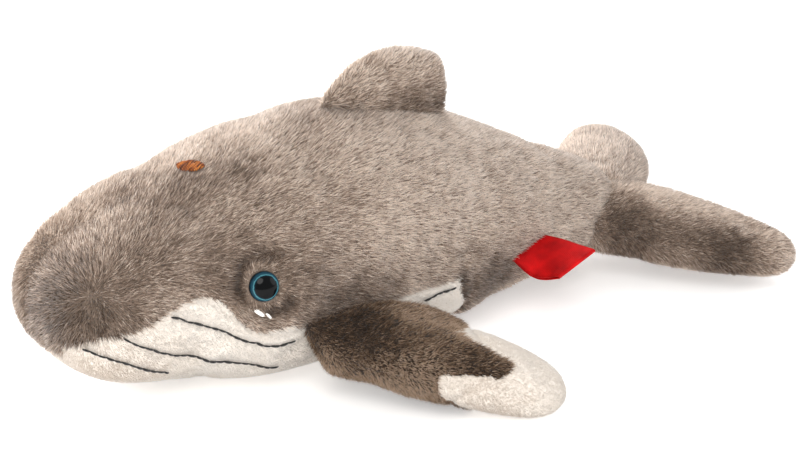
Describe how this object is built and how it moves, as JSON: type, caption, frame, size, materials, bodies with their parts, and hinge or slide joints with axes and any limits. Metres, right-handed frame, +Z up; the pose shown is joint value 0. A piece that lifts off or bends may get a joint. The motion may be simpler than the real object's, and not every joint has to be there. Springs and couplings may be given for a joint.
{
  "type": "plush whale",
  "caption": "Soft stuffed whale lying on its belly, with grooved white throat, long flippers, tail flukes, back fin, blue safety eyes and a plain side label.",
  "frame": {"origin": "centre of the bounding box on the floor, under the belly", "axes": "+X from head to tail, +Y towards the whale's right side, +Z up"},
  "size_m": [0.3218, 0.2358, 0.1153],
  "materials": {
    "grey_fabric": "short grey-brown pile, matt",
    "dark_fabric": "short dark brown pile, matt",
    "white_fabric": "short off-white pile, matt",
    "stuffing_fibre": "loose white fibre",
    "eye_plastic": "polished black with a blue iris",
    "washer_plastic": "moulded, matt",
    "black_thread": "satin embroidery thread",
    "white_thread": "satin embroidery thread",
    "brown_thread": "satin embroidery thread",
    "red_ribbon": "woven red ribbon, slight sheen"
  },
  "bodies": {
    "back_fin": {"back_fin_left_skin": "grey_fabric", "back_fin_right_skin": "grey_fabric", "back_fin_stuffing": "stuffing_fibre"},
    "body": {"back_skin_left": "grey_fabric", "back_skin_right": "grey_fabric", "blowhole_embroidery": "brown_thread", "body_stuffing": "stuffing_fibre", "left_eye": "eye_plastic", "left_eye_glint_1": "white_thread", "left_eye_glint_2": "white_thread", "left_eye_washer": "washer_plastic", "left_throat_line_1": "black_thread", "left_throat_line_2": "black_thread", "left_throat_line_3": "black_thread", "left_throat_line_4": "black_thread", "rear_belly_skin": "grey_fabric", "right_eye": "eye_plastic", "right_eye_glint_1": "white_thread", "right_eye_glint_2": "white_thread", "right_eye_washer": "washer_plastic", "right_throat_line_1": "black_thread", "right_throat_line_2": "black_thread", "right_throat_line_3": "black_thread", "right_throat_line_4": "black_thread", "throat_skin": "white_fabric"},
    "left_flipper": {"left_flipper_lower_skin": "dark_fabric", "left_flipper_stuffing": "stuffing_fibre", "left_flipper_tip_skin": "white_fabric", "left_flipper_upper_skin": "dark_fabric"},
    "left_fluke": {"left_fluke_lower_skin": "grey_fabric", "left_fluke_stuffing": "stuffing_fibre", "left_fluke_upper_skin": "grey_fabric"},
    "right_flipper": {"right_flipper_lower_skin": "dark_fabric", "right_flipper_stuffing": "stuffing_fibre", "right_flipper_tip_skin": "white_fabric", "right_flipper_upper_skin": "dark_fabric"},
    "right_fluke": {"right_fluke_lower_skin": "grey_fabric", "right_fluke_stuffing": "stuffing_fibre", "right_fluke_upper_skin": "grey_fabric"},
    "side_label": {"side_label": "red_ribbon"}
  },
  "joints": [
    {"name": "left_flipper_bend", "type": "hinge", "parent": "body", "child": "left_flipper", "pos_m": [-0.04638, -0.052, 0.03341], "axis": [-0.9926, -0.0187, -0.1203], "range_deg": [-15, 40], "stiffness_Nm_per_rad": 0.03},
    {"name": "right_flipper_bend", "type": "hinge", "parent": "body", "child": "right_flipper", "pos_m": [-0.04638, 0.052, 0.03341], "axis": [0.9926, -0.0187, 0.1203], "range_deg": [-15, 40], "stiffness_Nm_per_rad": 0.03},
    {"name": "left_fluke_bend", "type": "hinge", "parent": "body", "child": "left_fluke", "pos_m": [0.10271, -0.01342, 0.03526], "axis": [-0.6691, -0.7431, 0], "range_deg": [-20, 25], "stiffness_Nm_per_rad": 0.03},
    {"name": "right_fluke_bend", "type": "hinge", "parent": "body", "child": "right_fluke", "pos_m": [0.10271, 0.01342, 0.03526], "axis": [0.6691, -0.7431, 0], "range_deg": [-20, 25], "stiffness_Nm_per_rad": 0.03},
    {"name": "back_fin_bend", "type": "hinge", "parent": "body", "child": "back_fin", "pos_m": [-0.00534, 0, 0.09232], "axis": [0.9745, 0, -0.2245], "range_deg": [-15, 15], "stiffness_Nm_per_rad": 0.02},
    {"name": "side_label_fold", "type": "hinge", "parent": "body", "child": "side_label", "pos_m": [0.04186, -0.03924, 0.03217], "axis": [0.946, 0.3018, -0.1182], "range_deg": [-40, 30], "stiffness_Nm_per_rad": 0.0006}
  ]
}
